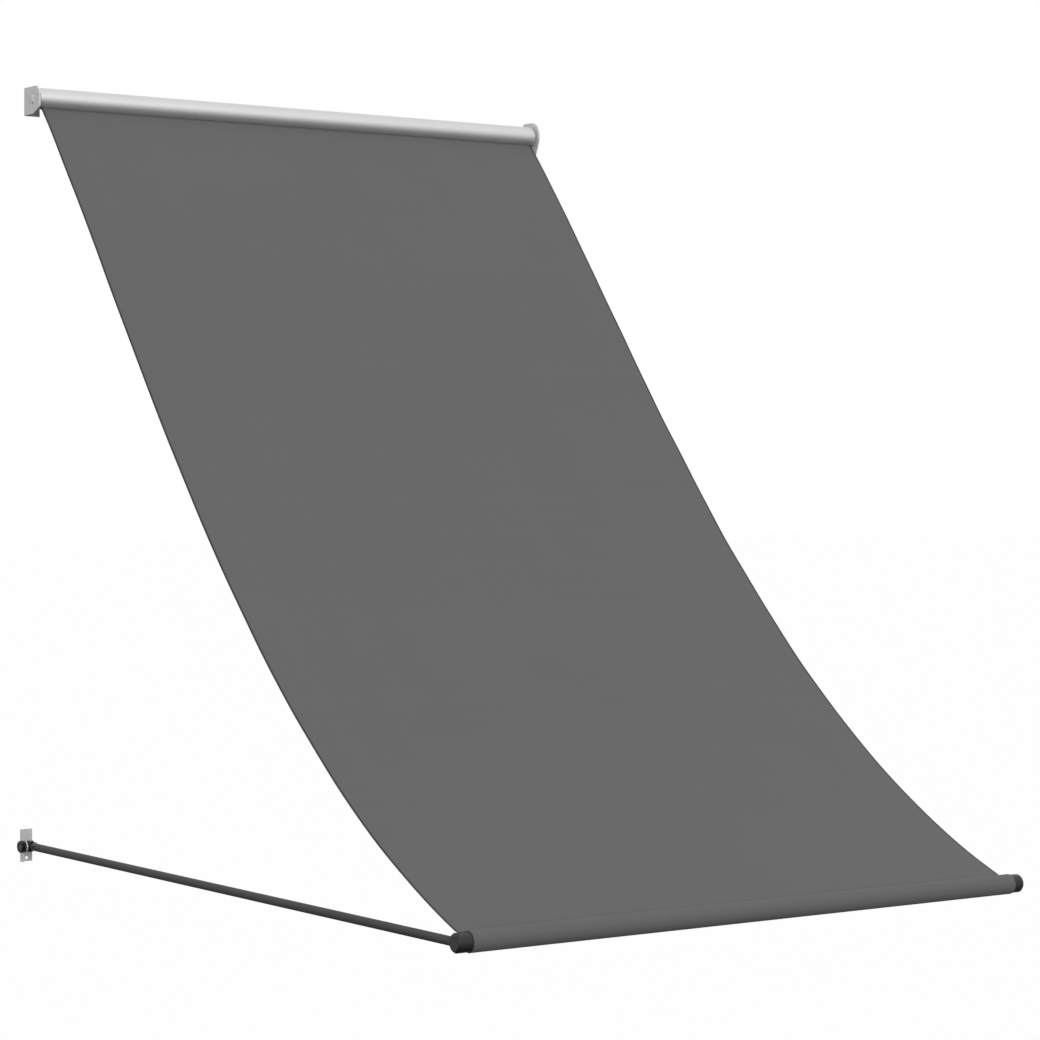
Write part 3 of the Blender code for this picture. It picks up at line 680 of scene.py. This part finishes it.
# %% Stitches
STITCH, PITCH, THREAD = 0.0027, 0.0034, 0.00022
ROWS_BEHIND_SEAM = (0.0030, 0.0095)
STITCH_SIDES, STITCH_RINGS = 6, 5
UNDER_LAYERS = 1.5 * CLOTH + LAYER_GAP
STITCH_MARGIN = 0.006


def stitch_points(x, place, depth, arch):
    """Rings of points along one stitch. It lies across the sheet and dips in at its ends."""
    rings = []
    for ring in range(STITCH_RINGS):
        share = ring / (STITCH_RINGS - 1)
        lift = arch * THREAD * (1.0 - (2 * share - 1) ** 2 * 1.6)
        size = THREAD * (0.55 + 0.45 * sin(pi * share))
        centre = place + (depth + lift) * sheet_up
        for side in range(STITCH_SIDES):
            angle = 2 * pi * side / STITCH_SIDES
            spot = centre + size * (cos(angle) * sheet_up + sin(angle) * up_the_sheet)
            rings.append((x + STITCH * (share - 0.5), spot.x, spot.y))
    return rings


def stitch_faces(first):
    """Sides of a stitch between its rings, and its two closed ends."""
    sides = STITCH_SIDES
    faces = []
    for ring in range(STITCH_RINGS - 1):
        a = first + ring * sides
        for side in range(sides):
            b = (side + 1) % sides
            faces.append((a + side, a + sides + side, a + sides + b, a + b))
    last = first + (STITCH_RINGS - 1) * sides
    return faces + [tuple(range(first, first + sides)), tuple(reversed(range(last, last + sides)))]


sheet_up = Vector((-up_the_sheet.y, up_the_sheet.x))
reach = half_width - STITCH_MARGIN
stitch_count = int(2 * reach / PITCH)
points, faces = [], []
for behind in ROWS_BEHIND_SEAM:
    place = seam + behind * up_the_sheet
    for depth, arch in ((CLOTH / 2, 1.0), (-UNDER_LAYERS, -1.0)):
        for number in range(stitch_count):
            x = middle_x + PITCH * (number - (stitch_count - 1) / 2)
            faces += stitch_faces(len(points))
            points += stitch_points(x, place, depth, arch)
mesh = bpy.data.meshes.new("hem_stitches")
mesh.from_pydata(points, [], faces)
mesh.shade_smooth()
hem_stitches = add_object("hem_stitches", mesh)
print(4 * stitch_count, "stitches,", round(10 / (1000 * PITCH), 1), "to a centimetre")

# %% Thread finish


def thread_finish():
    finish = Finish("polyester_thread")
    where = finish.place()
    ply = finish.cloud(where, 5200.0, 2.0)
    finish.wear({
        "Base Color": finish.blend((0.085, 0.085, 0.087, 1), (0.13, 0.13, 0.132, 1), ply),
        "Roughness": 0.55 + 0.10 * ply,
        "Normal": finish.relief(ply, 0.00004, 0.5),
    })
    return finish.material


hem_stitches.data.materials.append(thread_finish())
print("the thread is", round(2000 * THREAD, 2), "mm thick")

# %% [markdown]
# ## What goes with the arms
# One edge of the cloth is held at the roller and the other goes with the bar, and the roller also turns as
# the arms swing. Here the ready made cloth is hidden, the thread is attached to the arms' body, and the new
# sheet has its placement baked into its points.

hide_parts("fabric")
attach(hem_stitches, "arm_frame")
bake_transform(awning_sheet)

# %% [markdown]
# ## Studio
# Metal shows what is round it, so the room's light is strong above and fades smoothly downwards, and that is
# what gives the roller its dark lower side. One wide soft light from the front fills the steep end of the
# cloth near the roller, which turns away from the room's ceiling, so the sheet is evenly lit from end to end.
# The room itself is seen as plain white. The floor is only there to be seen: light passes through it.

# %% The room
ABOVE, LEVEL, BELOW = 0.88, 0.66, 0.01
ROOM_WHITE = 1.0


def room():
    world = bpy.data.worlds.new("studio")
    world.use_nodes = True
    network = Network(world.node_tree)
    _, _, up = network.parts(network.node("ShaderNodeTexCoord", out="Generated"))
    strength = BELOW + (LEVEL - BELOW) * up.eased(-0.95, 0.22) + (ABOVE - LEVEL) * up.eased(0.0, 0.9)
    seen = network.node("ShaderNodeLightPath", out="Is Camera Ray")
    background = world.node_tree.nodes["Background"]
    network.feed(background.inputs["Strength"], strength + seen * (ROOM_WHITE - strength))
    network.feed(background.inputs["Color"], (1.0, 1.0, 1.0, 1.0))
    bpy.context.scene.world = world


room()
print("the room is", ABOVE, "above,", LEVEL, "level and", BELOW, "below")

# %% The front light
LIGHT_HEIGHT = radians(20)
LIGHT_SIDE = radians(-14)
LIGHT_STRENGTH, LIGHT_SPREAD = 1.6, radians(34)
light = add_object("front_light", bpy.data.lights.new("front_light", "SUN"))
light.data.energy = LIGHT_STRENGTH
light.data.angle = LIGHT_SPREAD
light.rotation_euler = (pi / 2 - LIGHT_HEIGHT, 0.0, LIGHT_SIDE)
print("one soft light, from the front and", round(LIGHT_HEIGHT * 180 / pi), "degrees up")

# %% The floor
FLOOR_LEVEL = -2.2
FLOOR_REACH = 60.0
FLOOR_WHITE = 0.99


def floor_finish():
    material = bpy.data.materials.new("pale_floor")
    material.use_nodes = True
    network = Network(material.node_tree)
    material.node_tree.nodes.remove(material.node_tree.nodes["Principled BSDF"])
    clear = network.node("ShaderNodeBsdfTransparent")
    pale = network.node("ShaderNodeEmission", values={"Color": (1.0, 1.0, 1.0, 1.0), "Strength": FLOOR_WHITE})
    seen = network.node("ShaderNodeLightPath", out="Is Camera Ray")
    mixed = network.node("ShaderNodeMixShader", values={0: seen, 1: clear, 2: pale})
    output = material.node_tree.nodes["Material Output"]
    network.feed(output.inputs["Surface"], mixed)
    return material


mesh = bpy.data.meshes.new("floor")
corners = [(x * FLOOR_REACH, y * FLOOR_REACH, FLOOR_LEVEL) for x, y in ((-1, -1), (1, -1), (1, 1), (-1, 1))]
mesh.from_pydata(corners, [], [(0, 1, 2, 3)])
mesh.materials.append(floor_finish())
floor = add_object("floor", mesh)
print("the floor is", round(-FLOOR_LEVEL, 1), "m below the roller")
